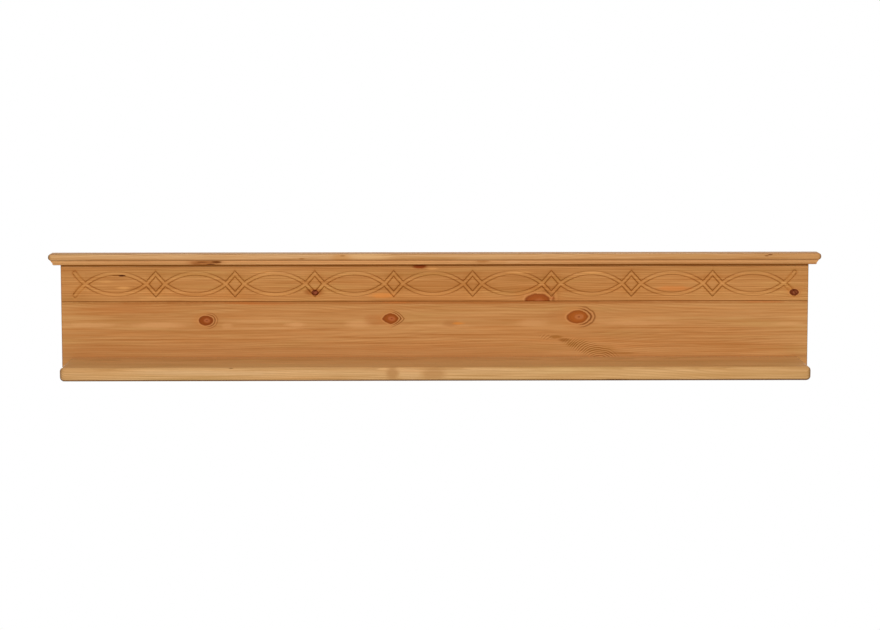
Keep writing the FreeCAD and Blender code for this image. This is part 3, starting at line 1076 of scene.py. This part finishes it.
@dataclass
class Frieze:
    """The carved upper board of the panel, worked out column by column.

    The rows of its face follow the ribbons' edges, so that the carved lines stay crisp. The depth at a point
    is a bell of its distance to the ribbons' outline, times the cutter's share of depth there, which
    outer_fade lowers further on the outer side of a lens's middle. The lines take a stain and painted shade,
    which fade at the ribbons' lower and upper tips, over tip_run from tip_start up or down, and a painted
    highlight lies lit_drop below each line.
    """

    finish: Pine
    ribbons: Ribbons = field(default_factory=Ribbons)
    node: str = "frieze_board"
    centre_up: float = 34.5 * MM
    line_width: float = 1.6 * MM
    line_depth: float = 1.2 * MM
    lit_drop: float = 2.6 * MM
    outer_fade: float = 0.4
    tip_start: float = 17.0 * MM
    tip_run: float = 5.0 * MM
    low_tip_fade: float = 0.5
    high_tip_fade: float = 0.25
    crease: float = 50.0
    slot_rise: float = 10.0 * MM
    shoulder_depth: float = 0.3 * MM
    shoulder_width: float = 2.4 * MM
    arris: float = 2.5 * MM
    bevel: float = 1.6 * MM
    tongue_fit: float = 0.1 * MM
    tongue_end_gap: float = 0.5 * MM
    column_pitch: float = 1.15 * MM
    plate_fit: float = 0.15 * MM
    head_space_radius: float = 6.0 * MM
    head_space_depth: float = 6.5 * MM

    def columns(self, end: float) -> np.ndarray:
        """The places of the columns: even, with closer ones over the rounded ends."""
        turn = np.linspace(0, math.pi / 2, 8)
        edge = end - self.arris * (1 - np.sin(turn))
        inner = np.linspace(-edge[0], edge[0], int(2 * edge[0] / self.column_pitch))
        return np.concatenate([-edge[:0:-1], inner, edge[1:]])

    def rows(self, x: np.ndarray, down: float, up: float, first: float) -> np.ndarray:
        """The heights of the face's points in each column, from the joint up to the cap.

        Each half has rows at set distances from both edges of the ribbon, and even ones beyond.

        Args:
            x: the columns.
            down: the distance from the middle line to the joint.
            up: the distance from it to the cap.
            first: how far from the shelf's middle the last crossing is.

        Returns:
            Heights above the middle line, of shape (columns, rows).
        """
        inner, outer = (edge[:, None] for edge in self.ribbons.edges(x, first))
        beside = np.array([0.35, 0.8, 1.5]) * MM
        around = np.concatenate([-beside[::-1], [0.0], beside])
        far = np.concatenate([around, [3.5 * MM]])
        open_share = np.array([0.0, 0.33, 0.66])
        middle = (inner + outer) / 2
        half = np.concatenate([inner * open_share, inner + around, middle, outer + far], axis=1)
        spacing = 0.012 * MM * np.arange(half.shape[1])
        half = np.maximum.accumulate(np.maximum(half, 0), axis=1) + spacing
        guard = 1.0 * MM
        steps = np.array([1.0, 0.66, 0.33, 0.0]) * self.bevel
        upper = np.concatenate([[30.5 * MM, 38.0 * MM], [up - guard, up]])
        lower = np.concatenate([[29.5 * MM, 31.2 * MM, down - self.bevel - guard / 2], down - steps])
        wide = np.ones((len(x), 1))
        high_side = np.concatenate([half, wide * upper], axis=1)
        low_side = np.concatenate([half, wide * lower], axis=1)[:, :0:-1]
        return np.concatenate([-low_side, high_side], axis=1)

    def build(self, name: str) -> bpy.types.Object:
        """Makes the board, with the rooms for the tongue and the hangers cut in.

        Args:
            name: the new piece's name.

        Returns:
            The piece.
        """
        low, high = (np.array(corner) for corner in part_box(self.node))
        middle = low[2] + self.centre_up
        first = high[0] - self.ribbons.end_margin
        x = self.columns(high[0])
        even = self.ribbons.even(x, first)
        z = self.rows(even, self.centre_up, high[2] - middle, first)
        wide = np.broadcast_to(x[:, None], z.shape)
        evenly = np.broadcast_to(even[:, None], z.shape)
        gap = self.ribbons.distance(evenly, z, first)
        beside = np.abs(gap)
        share = self.ribbons.depth_share(even, first)[:, None]
        inner, outer = (edge[:, None] for edge in self.ribbons.edges(even, first))
        share = share - np.where(np.abs(z) > (inner + outer) / 2, self.outer_fade, 0) * (1 - share)
        line = np.cos(np.clip(beside / (self.line_width / 2), 0, 1) * math.pi / 2) ** 2
        sunk = line * self.line_depth * (0.3 + 0.6 * share)
        sunk = sunk + self.shoulder_depth * np.exp(-(beside / self.shoulder_width) ** 2)
        from_end = np.clip(np.abs(wide) - (high[0] - self.arris), 0, None)
        rounded = self.arris - np.sqrt(np.maximum(self.arris ** 2 - from_end ** 2, 0))
        bevel = np.clip(self.bevel - (z + self.centre_up), 0, None)
        y = low[1] + np.maximum(np.maximum(sunk, rounded), bevel)
        face = np.stack([wide, y, z + middle], -1)
        rest = self.back_outline(low, high)
        behind = np.empty((len(x), len(rest), 3))
        behind[..., 0] = x[:, None]
        behind[..., 1:] = rest
        blank = np.zeros(behind.shape[:2])
        worn = np.concatenate([np.clip(np.maximum(rounded, bevel) / self.bevel, 0, 1), blank], 1)
        # The carved mark: a stain in the grooves and painted shade along the lines, fading at the ribbons'
        # tips, where a line runs level under light from above.
        spread = self.line_width * (0.55 + 0.9 * share)
        low_tip, high_tip = (np.clip((way - self.tip_start) / self.tip_run, 0, 1) for way in (-z, z))
        tips = 1 - self.low_tip_fade * low_tip - self.high_tip_fade * high_tip
        carved = np.concatenate([tips * share * np.exp(-(beside / spread) ** 2), blank], 1)
        # A painted highlight just below each carved line, lit_drop lower, as light from above gives it; it
        # joins the paler ribbons.
        above = np.abs(self.ribbons.distance(evenly, z + self.lit_drop, first))
        lit = share * np.exp(-(above / (0.8 * self.line_width)) ** 2)
        ribbon = np.clip(-gap / (0.4 * self.ribbons.width), 0, 1)
        raised = np.concatenate([np.maximum(ribbon, lit), blank], 1)
        skin = loft(np.concatenate([face, behind], 1), worn=worn, carved=carved, raised=raised)
        piece = skin.build(name, self.finish.material(), self.crease)
        pierce(piece, self.hanger_rooms(), self.crease)
        settle(piece, self.node)
        return piece

    def back_outline(self, low: np.ndarray, high: np.ndarray) -> np.ndarray:
        """The rest of the section behind the face, as (Y, Z): top, back, and the groove for the tongue."""
        tongue_low, tongue_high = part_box("panel_tongue")
        near, far = tongue_low[1] - self.tongue_fit, tongue_high[1] + self.tongue_fit
        roof = tongue_high[2] + self.tongue_end_gap
        return np.array([[high[1], high[2]], [high[1], low[2]], [far, low[2]], [far, roof], [near, roof],
                         [near, low[2]]])

    def hanger_rooms(self) -> list[bpy.types.Object]:
        """The cutters for both hangers: the plate's seat and the room for the wall screw's head."""
        cutters = []
        for node in ("hanger_plate_left", "hanger_plate_right"):
            low, high = (np.array(corner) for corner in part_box(node))
            x, half = (low[0] + high[0]) / 2, (high[0] - low[0]) / 2
            ends = np.array([[x, 0.0, low[2] + half], [x, 0.0, high[2] - half]])
            cutters.append(cutting_bar(*ends, half + self.plate_fit, 1, -low[1]))
            ends = np.array([[x, 0.0, 0.0], [x, 0.0, self.slot_rise]])
            cutters.append(cutting_bar(*ends, self.head_space_radius, 1, self.head_space_depth))
        return cutters


@dataclass
class Shelf:
    """The whole shelf: its boards, its strips and the pieces that join and hang them."""

    cap_finish: Pine
    strip_finish: Pine
    frieze_finish: Pine
    back_finish: Pine
    ledge_finish: Pine
    plug_radius: float = 5.0 * MM
    plug_fit: float = 0.05 * MM
    plug_depth: float = 4.5 * MM
    plug_count: int = 4

    def build_cap(self) -> None:
        """Makes the cap board with the pockets of its plugs, and the three strips under it."""
        board = EdgedBoard("cap_board", self.cap_finish, corner=8.5 * MM, top_radius=4.2 * MM,
                           bottom_radius=4.2 * MM, end_top=1.45, end_bottom=1.45)
        cap = board.build("rounded_cap")
        low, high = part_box("cap_screw_plugs")
        pockets = []
        for spot in np.linspace(low[0] + self.plug_radius, high[0] - self.plug_radius, self.plug_count):
            point = np.array([spot, (low[1] + high[1]) / 2, high[2]])
            pockets.append(cutting_bar(point, point, self.plug_radius + self.plug_fit, 2, self.plug_depth))
        pierce(cap, pockets)
        end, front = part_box("frieze_board")[1][0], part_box("frieze_board")[0][1]
        for side in ("front", "left", "right"):
            Moulding("cap_moulding_" + side, self.strip_finish).build(side + "_strip", end, front)

    def build_panel(self) -> None:
        """Makes the carved frieze and dresses the lower board and its tongue."""
        Frieze(self.frieze_finish).build("carved_frieze")
        dress("back_board", self.back_finish.material())
        plywood = BareWood("birch_plywood", linear(214, 186, 142), linear(176, 138, 92),
                           grain=(60.0, 500.0, 60.0), layer_pitch=1.0 * MM)
        dress("panel_tongue", plywood.material())

    def build_ledge(self) -> None:
        """Makes the deep board that things stand on."""
        board = EdgedBoard("ledge_board", self.ledge_finish, corner=10.5 * MM, top_radius=8.0 * MM,
                           bottom_radius=4.0 * MM, end_bottom=1.9)
        board.build("rounded_ledge")

    def dress_fixings(self) -> None:
        """Dresses the dowels, screws, plugs, pins and hangers."""
        beech = BareWood("beech", linear(208, 164, 118), linear(176, 124, 82),
                         grain=(400.0, 90.0, 400.0)).material()
        zinc = Zinc("zinc_plate").material()
        for node in ("ledge_dowels", "cap_dowels"):
            dress(node, beech)
        for node in ("ledge_screws", "cap_screws", "moulding_pins", "hanger_plate_left", "hanger_plate_right",
                     "hanger_screws"):
            dress(node, zinc)
        dress("cap_screw_plugs", self.strip_finish.material())

    def build(self) -> None:
        """Makes every piece in turn."""
        for step in (self.build_cap, self.build_panel, self.build_ledge, self.dress_fixings):
            step()
            log.info("done: %s", step.__name__)


@dataclass(frozen=True)
class Lamp:
    """A soft lamp that faces the shelf: its name, its place, its width and height, and its watts."""

    name: str
    place: Triple
    size: tuple[float, float]
    power: float


@dataclass
class Studio:
    """The plain room for the picture: a pale floor well below the shelf, soft lamps and the camera.

    The camera's angles are in degrees. Ambient says how strongly the white surround lights the shelf.
    """

    floor_level: float = -1.4
    floor_radius: float = 2.8
    floor_points: int = 96
    ambient: float = 0.34
    lamps: tuple[Lamp, ...] = (Lamp("front_lamp", (-0.15, -5.4, 1.95), (2.4, 1.1), 206.0),
                               Lamp("top_lamp", (0.8, -1.6, 3.2), (3.0, 2.0), 26.0),
                               Lamp("rear_lamp", (0.6, 3.6, 3.2), (3.0, 2.0), 15.0),
                               Lamp("back_lamp", (-0.6, 4.6, -0.7), (2.6, 1.0), 120.0))
    camera_place: Triple = (-0.032, -5.0, 0.487)
    camera_tilt: float = 6.294
    camera_roll: float = 0.043
    camera_pan: float = -0.483
    camera_sight: float = 100.0
    focal_pixels: float = 2570.7

    def build_floor(self) -> None:
        """Makes a round floor, one ring of points about its middle."""
        turn = np.linspace(0, math.tau, self.floor_points, endpoint=False)
        rim = np.stack([np.cos(turn), np.sin(turn)], -1) * self.floor_radius
        mesh = bpy.data.meshes.new("floor")
        points = np.column_stack([rim, np.full(len(turn), self.floor_level)])
        mesh.from_pydata(points.tolist(), [], [list(range(len(turn)))])
        bench = Bench("floor_paint")
        ray = bench.node("ShaderNodeLightPath", output="Is Camera Ray")
        cloud = bench.noise(bench.place, (0.7, 0.7, 0.7), 2.0, 1.0)
        pale = bench.tint(cloud, linear(240, 240, 238), linear(246, 246, 245))
        paint = bench.node("ShaderNodeBsdfDiffuse", {"Color": pale})
        glow = bench.node("ShaderNodeEmission", {"Color": WHITE, "Strength": 1.0})
        bench.finish(bench.node("ShaderNodeMixShader", {0: ray * 0.7, 1: paint, 2: glow}))
        mesh.materials.append(bench.material)
        floor = bpy.data.objects.new("floor", mesh)
        bpy.context.scene.collection.objects.link(floor)

    def build_world(self) -> None:
        """Makes a white surround that lights softly, and shows as plain white to the eye and in metal."""
        world = bpy.data.worlds.new("surround")
        world.use_nodes = True
        tree = world.node_tree
        path = tree.nodes.new("ShaderNodeLightPath")
        seen = tree.nodes.new("ShaderNodeMath")
        seen.operation = "MAXIMUM"
        tree.links.new(path.outputs["Is Camera Ray"], seen.inputs[0])
        clear = tree.nodes.new("ShaderNodeMath")
        clear.operation = "MAXIMUM"
        tree.links.new(path.outputs["Is Glossy Ray"], clear.inputs[0])
        tree.links.new(path.outputs["Is Transmission Ray"], clear.inputs[1])
        tree.links.new(clear.outputs[0], seen.inputs[1])
        strength = tree.nodes.new("ShaderNodeMapRange")
        tree.links.new(seen.outputs[0], strength.inputs["Value"])
        strength.inputs["To Min"].default_value = self.ambient
        strength.inputs["To Max"].default_value = 1.0
        back = tree.nodes["Background"]
        back.inputs["Color"].default_value = WHITE
        tree.links.new(strength.outputs[0], back.inputs["Strength"])
        bpy.context.scene.world = world

    def build_lamp(self, lamp: Lamp) -> None:
        """Makes one soft lamp, turned to the shelf's middle and not seen itself.

        Args:
            lamp: the lamp.
        """
        data = bpy.data.lights.new(lamp.name, "AREA")
        data.shape = "RECTANGLE"
        data.size, data.size_y = lamp.size
        data.energy = lamp.power
        made = bpy.data.objects.new(lamp.name, data)
        made.location = lamp.place
        aim = -made.location
        made.rotation_euler = aim.to_track_quat("-Z", "Y").to_euler()
        made.visible_camera = False
        bpy.context.scene.collection.objects.link(made)

    def build_camera(self) -> None:
        """Makes the camera: a little above the shelf, tilted down, with no shift."""
        data = bpy.data.cameras.new("camera")
        data.sensor_width = SENSOR_WIDTH
        data.lens = self.focal_pixels / PICTURE_WIDTH * SENSOR_WIDTH
        data.clip_end = self.camera_sight
        camera = bpy.data.objects.new("camera", data)
        camera.location = self.camera_place
        turn = [math.radians(v) for v in (90 - self.camera_tilt, self.camera_roll, self.camera_pan)]
        camera.rotation_euler = Euler(turn)
        bpy.context.scene.collection.objects.link(camera)
        bpy.context.scene.camera = camera

    def build(self) -> None:
        """Makes the whole room."""
        self.build_floor()
        self.build_world()
        for lamp in self.lamps:
            self.build_lamp(lamp)
        self.build_camera()
        bpy.context.scene.view_settings.view_transform = "Standard"


def stains_of(*rows: tuple) -> tuple[Stain, ...]:
    """Stains from rows in millimetres: centre, half sizes, seen colour, strength and softness.

    Args:
        *rows: each (x, z, reach, rise, colour, strength, softness), where the softness may be left out.

    Returns:
        The stains.
    """
    return tuple(Stain(x * MM, z * MM, reach * MM, rise * MM, linear(*seen), *rest)
                 for x, z, reach, rise, seen, *rest in rows)


def knots_of(*rows: tuple) -> tuple[Knot, ...]:
    """Knots from rows in millimetres: centre, half sizes, seen colours of body and heart, and outline.

    Args:
        *rows: each (x, z, reach, rise, body, heart, wrap, point), where the last two may be left out.

    Returns:
        The knots.
    """
    return tuple(Knot(x * MM, z * MM, reach * MM, rise * MM, linear(*body), linear(*heart), *rest)
                 for x, z, reach, rise, body, heart, *rest in rows)


def cap_finish() -> Pine:
    """The cap board's pale pine, paler on its rounded front with wear and a painted highlight, with painted
    light on its lower arris, and a little darker to the right.
    """
    stains = stains_of((-182, 52, 22, 9, (176, 116, 54), 0.5),
                       (-126, 54, 44, 8, (216, 170, 114), 0.3),
                       (560, 52, 420, 40, (172, 112, 54), 0.35),
                       (-258, 50, 6, 1.6, (140, 84, 30), 0.6),
                       (-179, 55.4, 5, 1.2, (134, 80, 28), 0.65),
                       (643, 54.4, 4.5, 1.4, (120, 66, 14), 0.8, 0.6),
                       (650, 56.6, 5, 1.4, (104, 50, 6), 0.8, 0.6))
    return Pine("cap_pine", linear(212, 167, 117), linear(172, 119, 65), linear(150, 92, 38),
                heart_y=20.0 * MM, heart_z=-150.0 * MM, seed=11.0, late_strength=0.75,
                edge_wear_and_highlight_gain=(1.14, 1.2, 1.24), painted_underside_gain=(1.06, 1.04, 0.98), face_y=-40.0 * MM, stains=stains)


def strip_finish() -> Pine:
    """The mouldings' pine, with the torn grain about a knot that stops at the strip's upper edge, a painted
    highlight along the upper face, and painted shade along the lower face on the right and under the foot.
    """
    # The first row is a painted highlight along the upper face, which the cap shades; the second is painted
    # shade along the lower face on the right.
    stains = stains_of((0, 43.4, 1500, 2.6, (250, 200, 144), 0.6),
                       (480, 38.2, 560, 2.0, (160, 102, 48), 0.6),
                       (-446, 41.5, 36, 7, (172, 106, 48), 0.75),
                       (-424, 43.4, 11, 2.4, (122, 70, 24), 0.8, 0.8),
                       (-434, 38.6, 9, 1.2, (96, 48, 10), 0.8, 0.6),
                       (-452, 42.8, 12, 1.0, (120, 60, 10), 0.7),
                       (-422, 42.0, 9, 1.0, (116, 56, 8), 0.7),
                       (-462, 39.4, 8, 0.9, (124, 64, 12), 0.6),
                       (150, 42.4, 18, 2.2, (238, 196, 146), 0.6, 0.6),
                       (92, 43.5, 16, 2.4, (188, 126, 66), 0.6))
    return Pine("strip_pine", linear(230, 180, 122), linear(200, 145, 86), linear(170, 110, 50),
                heart_y=30.0 * MM, heart_z=-120.0 * MM, seed=17.0, late_strength=0.35,
                edge_wear_and_highlight_gain=(1.3, 1.3, 1.28), painted_underside_gain=(0.66, 0.55, 0.42), face_y=-35.0 * MM, stains=stains)


def frieze_finish() -> Pine:
    """The frieze's warm pine, with its small dark knots, the knot cut by the joint, and painted shade under
    the strips.
    """
    knots = knots_of((-233.5, -18.3, 7.0, 5.8, (108, 46, 16), (146, 78, 52), 0.3),
                     (199.8, -38.0, 23.6, 17, (157, 80, 26), (177, 102, 52), 0.4, -0.2),
                     (700.4, -19.0, 9.2, 6.4, (104, 44, 12), (148, 84, 52), 0.3))
    golden = (222, 160, 92)
    # The first row is a band of painted shade along the top, where the strips cast their shadow.
    stains = stains_of((0, 36.6, 1500, 2.6, (196, 122, 24), 0.8),
                       (-235, -17.2, 20, 7.5, (150, 86, 32), 0.8, 0.9),
                       (-609, 15.4, 7.5, 1.7, (80, 26, 0), 1.0, 0.5),
                       (-621, 15.8, 8, 1.5, (146, 86, 26), 0.7, 0.5),
                       (-30, 32.5, 15, 4.6, (138, 57, 0), 0.95, 0.8),
                       (-5, 28, 12, 2.2, golden, 0.7),
                       (-102.6, -24, 26, 5.5, (222, 134, 56), 0.5),
                       (464, -11, 36, 5.5, (212, 120, 50), 0.45),
                       (228.5, -30, 4.5, 4, (146, 56, 4), 0.7, 0.7),
                       (-606, -8.5, 17, 3, golden, 0.6),
                       (-640, 4, 14, 3, golden, 0.35),
                       (-596, -29, 26, 5, (170, 106, 52), 0.3),
                       (-335, 22, 26, 2.2, golden, 0.45),
                       (-310, -22, 40, 2.6, golden, 0.4),
                       (164, 21, 26, 2.6, golden, 0.5),
                       (308, 20, 24, 2.2, golden, 0.5))
    return Pine("frieze_pine", linear(206, 148, 87), linear(173, 112, 53), linear(146, 84, 30),
                heart_y=50.0 * MM, heart_z=-250.0 * MM, ring_pitch=4.4 * MM, bend=0.014, seed=23.0,
                late_strength=0.35, knots=knots, stains=stains)


def back_finish() -> Pine:
    """The lower board's warm pine, with its three brown knots and its patch of curly grain.

    Pale flames lie end to end along its middle, between finer straight grain. Under the joint runs a dark
    line, partly dirt and partly painted shade, and along the foot a line of painted shade where it meets the
    ledge.
    """
    knots = knots_of((-446.5, -72.7, 14.0, 9.6, (142, 69, 16), (176, 101, 54), 0.8),
                     (-86.6, -69.4, 16, 10.6, (150, 75, 18), (178, 99, 52), 1.0, 0.25),
                     (278, -66.6, 20.4, 12.6, (164, 87, 26), (182, 110, 58)))
    flame, line = (214, 158, 102), (156, 94, 34)
    flames = ((-670, -81, 60, 4.5, 0.6), (-540, -82, 55, 6, 0.6), (-405, -83, 12, 6, 0.35),
              (-340, -74, 75, 2.6, 0.4), (-330, -88, 95, 2.4, 0.35), (-272, -81, 22, 4.4, 0.65),
              (-150, -80, 26, 9, 0.45), (18, -84, 70, 3, 0.3), (190, -78, 32, 8, 0.4),
              (400, -79, 90, 4.2, 0.5), (690, -80, 30, 3.4, 0.4))
    lines = ((-490, -109, 190, 1.0), (-120, -107, 130, 1.1), (-395, -93, 150, 1.0), (60, -101, 120, 0.9),
             (-600, -62, 90, 1.0), (470, -88, 160, 1.3), (520, -98, 110, 0.9), (-60, -118, 150, 0.9),
             (-610, -122, 70, 1.0), (620, -121, 90, 1.0))
    stains = stains_of(*((*sizes, flame, strength) for *sizes, strength in flames),
                       *((*sizes, line, 0.5) for sizes in lines),
                       (31, -79, 18, 7, (168, 108, 54), 0.5),
                       (-116, -71, 24, 12, (172, 100, 44), 0.4),
                       (-575, -48, 130, 11, (182, 104, 44), 0.3),
                       (238, -66, 20, 13, (172, 104, 50), 0.22),
                       (45, -79, 12, 3, (214, 132, 50), 0.6),
                       (-330, -40, 60, 2.6, (190, 100, 34), 0.4),
                       # A dark line under the joint: partly dirt, partly painted shade.
                       (0, -38.2, 900, 3.0, (160, 92, 36), 0.6, 0.9),
                       (-300, -146, 800, 30, (172, 118, 68), 0.35),
                       # A line of painted shade along the foot, where the board meets the ledge.
                       (0, -144.6, 1500, 3.0, (168, 112, 62), 0.65),
                       (-372, -38.5, 40, 2.4, (184, 102, 40), 0.4),
                       (-75, -37.5, 32, 2.2, (190, 106, 44), 0.4),
                       (638, -37.5, 44, 2.0, (190, 104, 44), 0.4),
                       (236, -106, 13, 3.6, (150, 94, 32), 0.7),
                       (252, -112, 13, 4.0, (142, 86, 26), 0.75),
                       (268, -120, 11, 4.4, (150, 94, 32), 0.65),
                       (276, -119, 26, 8, (168, 114, 50), 0.5),
                       (318, -131, 36, 9, (168, 114, 50), 0.5),
                       (358, -138, 40, 2.6, (150, 94, 34), 0.6))
    ripples = (Ripple(305 * MM, -130 * MM, 58 * MM, 15 * MM, -0.3, 322 * MM, -172 * MM, 4.1 * MM, 0.95),
               Ripple(216 * MM, -106 * MM, 14 * MM, 6 * MM, -0.1, 250 * MM, -150 * MM, 5.2 * MM, 0.5))
    return Pine("back_pine", linear(205, 152, 94), linear(180, 120, 62), linear(150, 90, 33),
                heart_y=45.0 * MM, heart_z=-78.0 * MM, seed=31.0, late_strength=0.36, knots=knots,
                stains=stains, ripples=ripples)


def ledge_finish() -> Pine:
    """The ledge's pine, paler along its rounded front with wear and a painted highlight, and darker on the
    lower arris of its nose with painted shade.
    """
    pale, dark = (216, 170, 118), (166, 112, 60)
    stains = stains_of((-49, -158, 24, 13, pale, 0.14, 0.8),
                       (-48, -152, 22, 1.6, (192, 132, 76), 0.5),
                       (-82, -156, 13, 13, dark, 0.75, 0.9),
                       (-387, -146.6, 5, 0.9, (110, 66, 24), 0.7),
                       (-5, -157, 25, 12, dark, 0.65),
                       (480, -158, 360, 40, (184, 132, 72), 0.28),
                       (-600, -157, 60, 8, (186, 130, 70), 0.3),
                       (-430, -155, 160, 5, pale, 0.3),
                       (340, -169, 30, 2, (120, 66, 18), 0.6))
    return Pine("ledge_pine", linear(212, 162, 106), linear(178, 126, 70), linear(152, 100, 46),
                heart_y=-60.0 * MM, heart_z=-240.0 * MM, seed=41.0, edge_wear_and_highlight_gain=(1.05, 1.15, 1.3),
                painted_underside_gain=(0.4, 0.36, 0.35), painted_underside_slope=0.42, face_y=-175.0 * MM, stains=stains)


def main() -> None:
    """Makes the shelf and its room."""
    logging.basicConfig(level=logging.INFO, format="%(name)s: %(message)s")
    shelf = Shelf(cap_finish(), strip_finish(), frieze_finish(), back_finish(), ledge_finish())
    shelf.build()
    Studio().build()


if __name__ == "__main__":
    main()
